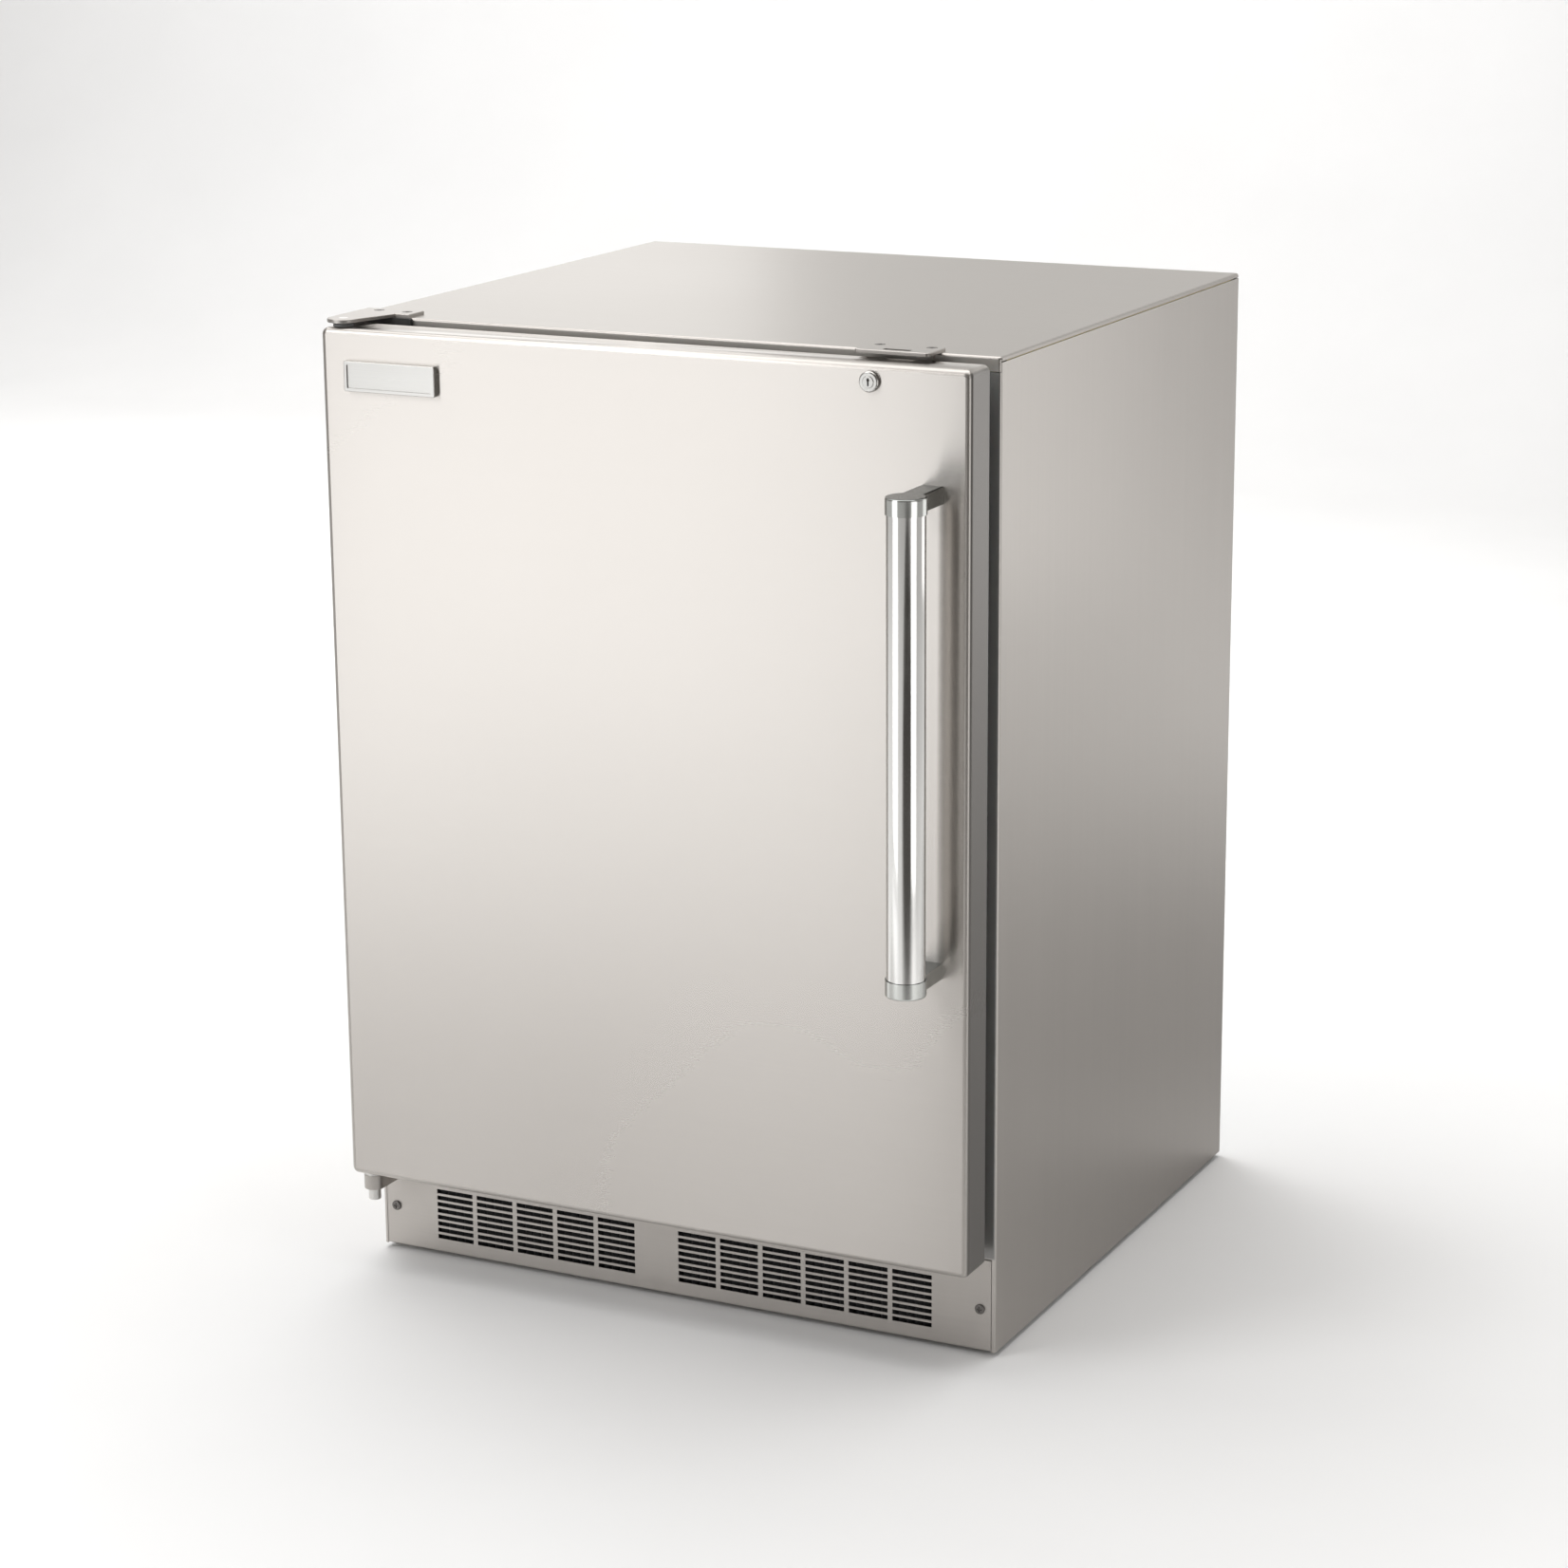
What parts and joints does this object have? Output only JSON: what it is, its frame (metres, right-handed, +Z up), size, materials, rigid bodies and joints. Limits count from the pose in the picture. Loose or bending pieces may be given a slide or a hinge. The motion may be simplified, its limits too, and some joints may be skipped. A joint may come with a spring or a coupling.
{
  "type": "undercounter refrigerator",
  "caption": "Undercounter refrigerator: stainless steel cabinet, left-hinged solid door with a vertical tube handle and key lock, wire shelves inside and a slotted base grille.",
  "frame": {"origin": "centre of the whole object's footprint (handle included), on the floor under the levelling feet", "axes": "+Z up, +Y towards the back, -Y out of the door, +X to the right as seen from the front (the door's latch side)"},
  "size_m": [0.606, 0.676, 0.8585],
  "materials": {
    "brushed_stainless": "satin",
    "polished_stainless": "polished",
    "zinc_plate": "satin",
    "galvanised": "satin",
    "black_enamel": "satin",
    "dark_strip": "matte",
    "white_liner": "satin",
    "white_wire": "satin",
    "clear_bin": "gloss",
    "lamp_lens": "gloss",
    "black_plastic": "matte",
    "grey_plastic": "matte",
    "gasket_rubber": "matte",
    "mount_rubber": "matte",
    "foam": "matte",
    "copper": "satin",
    "coil_aluminium": "satin",
    "fan_aluminium": "satin"
  },
  "bodies": {
    "cabinet": {"side_panel_left": "brushed_stainless", "side_panel_right": "brushed_stainless", "top_panel": "brushed_stainless", "front_rails": "brushed_stainless", "rear_panel": "galvanised", "rear_service_cover": "galvanised", "power_inlet": "black_plastic", "base_pan": "galvanised", "cabinet_liner": "white_liner", "cabinet_foam": "foam", "compressor_bay_deck": "galvanised", "base_grille": "brushed_stainless", "panel_screws": "zinc_plate", "shelf_ledges": "white_liner", "evaporator_cover": "white_liner", "evaporator_coil": "coil_aluminium", "evaporator_fan_motor": "black_plastic", "control_housing": "white_liner", "light_lens": "lamp_lens", "compressor": "black_enamel", "compressor_grommets": "mount_rubber", "compressor_bolts": "zinc_plate", "compressor_terminal_cover": "black_plastic", "condenser_coil": "black_enamel", "condenser_fan_shroud": "galvanised", "condenser_fan_motor": "galvanised", "filter_drier": "copper", "refrigerant_lines": "copper", "drain_pan": "black_plastic", "drain_tube": "grey_plastic", "hinge_plate_top": "zinc_plate", "hinge_backing_top": "dark_strip", "hinge_bracket_bottom": "zinc_plate", "hinge_pins": "zinc_plate", "lock_keeper": "zinc_plate", "shelf_lower": "white_wire", "shelf_middle": "white_wire", "shelf_upper": "white_wire"},
    "door": {"door_outer_panel": "brushed_stainless", "door_liner": "white_liner", "door_foam": "foam", "door_gasket": "gasket_rubber", "hinge_bushes": "grey_plastic", "handle_tube": "polished_stainless", "handle_brackets": "polished_stainless", "handle_screws": "zinc_plate", "badge_plate": "polished_stainless", "lock_body": "polished_stainless", "door_bin_lower": "clear_bin", "door_bin_middle": "clear_bin", "door_bin_upper": "clear_bin"},
    "lock": {"lock_plug": "polished_stainless"},
    "switch_plunger": {"door_switch_plunger": "grey_plastic"},
    "knob": {"thermostat_knob": "black_plastic"},
    "evaporator_fan": {"evaporator_fan_rotor": "grey_plastic"},
    "condenser_fan": {"condenser_fan_rotor": "fan_aluminium"},
    "foot_front_left_body": {"foot_front_left": "zinc_plate"},
    "foot_front_right_body": {"foot_front_right": "zinc_plate"},
    "foot_rear_left_body": {"foot_rear_left": "zinc_plate"},
    "foot_rear_right_body": {"foot_rear_right": "zinc_plate"}
  },
  "joints": [
    {"name": "door_swing", "type": "hinge", "parent": "cabinet", "child": "door", "pos_m": [-0.288, -0.253, 0.405], "axis": [0, 0, -1], "range_deg": [0, 115]},
    {"name": "lock_turn", "type": "hinge", "parent": "door", "child": "lock", "pos_m": [0.2135, -0.255, 0.8385], "axis": [0, -1, 0], "range_deg": [0, 90]},
    {"name": "plunger_slide", "type": "slide", "parent": "cabinet", "child": "switch_plunger", "axis": [0, -1, 0], "range_m": [0, 0.008]},
    {"name": "thermostat_turn", "type": "hinge", "parent": "cabinet", "child": "knob", "pos_m": [0.078, -0.185, 0.798], "axis": [0, -1, 0], "range_deg": [0, 270]},
    {"name": "evaporator_fan_spin", "type": "hinge", "parent": "cabinet", "child": "evaporator_fan", "pos_m": [0, 0.238, 0.72], "axis": [0, -1, 0], "continuous": true},
    {"name": "condenser_fan_spin", "type": "hinge", "parent": "cabinet", "child": "condenser_fan", "pos_m": [0.13, 0.223, 0.123], "axis": [0, -1, 0], "continuous": true},
    {"name": "foot_front_left_screw", "type": "slide", "parent": "cabinet", "child": "foot_front_left_body", "axis": [0, 0, -1], "range_m": [0, 0.025]},
    {"name": "foot_front_right_screw", "type": "slide", "parent": "cabinet", "child": "foot_front_right_body", "axis": [0, 0, -1], "range_m": [0, 0.025]},
    {"name": "foot_rear_left_screw", "type": "slide", "parent": "cabinet", "child": "foot_rear_left_body", "axis": [0, 0, -1], "range_m": [0, 0.025]},
    {"name": "foot_rear_right_screw", "type": "slide", "parent": "cabinet", "child": "foot_rear_right_body", "axis": [0, 0, -1], "range_m": [0, 0.025]}
  ],
  "couplings": [
    {"joint": "plunger_slide", "follows": "door_swing", "m_per_rad": 0.00398}
  ]
}
